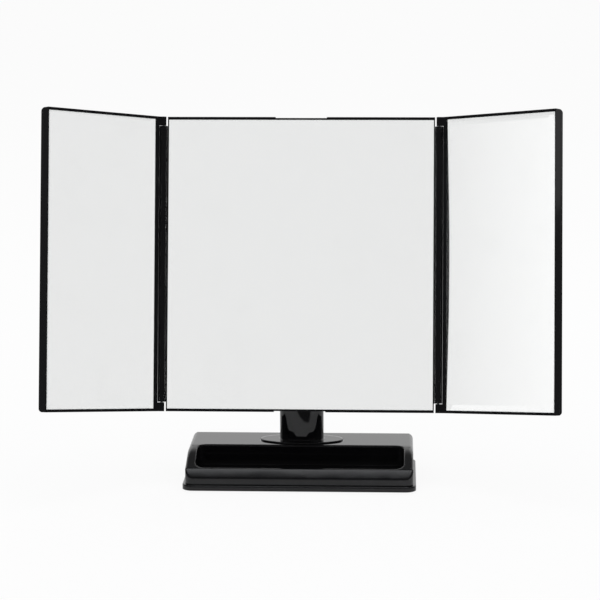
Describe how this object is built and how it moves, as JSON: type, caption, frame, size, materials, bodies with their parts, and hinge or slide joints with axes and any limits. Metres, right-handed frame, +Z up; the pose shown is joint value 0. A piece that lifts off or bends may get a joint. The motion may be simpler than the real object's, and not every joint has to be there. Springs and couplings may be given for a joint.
{
  "type": "trifold vanity mirror",
  "caption": "Free-standing trifold vanity mirror: a framed centre panel with two hinged wings tilts on a short post over a weighted base with an open tray.",
  "frame": {"origin": "middle of the underside of the base, on the table", "axes": "+X to the viewer's right along the centre panel, +Y away from the viewer, +Z up"},
  "size_m": [0.3138, 0.1152, 0.2389],
  "materials": {
    "gloss_black": "glossy moulded black",
    "silvered_glass": "polished silvered glass",
    "steel": "zinc plated",
    "black_steel": "satin black paint",
    "pad_rubber": "matt anti-slip",
    "foam": "closed-cell adhesive foam",
    "fibre": "pressed fibre"
  },
  "bodies": {
    "stand": {"base_shell": "gloss_black", "base_plinth": "gloss_black", "anti_slip_pad": "pad_rubber", "ballast_bar": "steel", "base_screws": "steel", "post": "gloss_black", "post_screws": "steel"},
    "mirror": {"center_frame": "gloss_black", "center_glass": "silvered_glass", "center_foam": "foam", "center_back": "gloss_black", "tilt_bracket": "black_steel", "bracket_screws": "steel", "pivot_bolt": "steel", "pivot_nut": "steel", "spring_washer": "steel", "friction_washers": "fibre"},
    "left_wing": {"left_wing_frame": "gloss_black", "left_wing_glass": "silvered_glass", "left_wing_foam": "foam", "left_wing_back": "gloss_black", "left_upper_pin": "steel", "left_lower_pin": "steel"},
    "right_wing": {"right_wing_frame": "gloss_black", "right_wing_glass": "silvered_glass", "right_wing_foam": "foam", "right_wing_back": "gloss_black", "right_upper_pin": "steel", "right_lower_pin": "steel"}
  },
  "joints": [
    {"name": "mirror_tilt", "type": "hinge", "parent": "stand", "child": "mirror", "pos_m": [0, 0.0084, 0.1046], "axis": [1, 0, 0], "range_deg": [-18, 12]},
    {"name": "left_wing_hinge", "type": "hinge", "parent": "mirror", "child": "left_wing", "pos_m": [-0.0858, -0.0095, 0.1084], "axis": [0, 0.2079, 0.9781], "range_deg": [-42, 138]},
    {"name": "right_wing_hinge", "type": "hinge", "parent": "mirror", "child": "right_wing", "pos_m": [0.0858, -0.0095, 0.1084], "axis": [0, -0.2079, -0.9781], "range_deg": [-37, 143]}
  ]
}
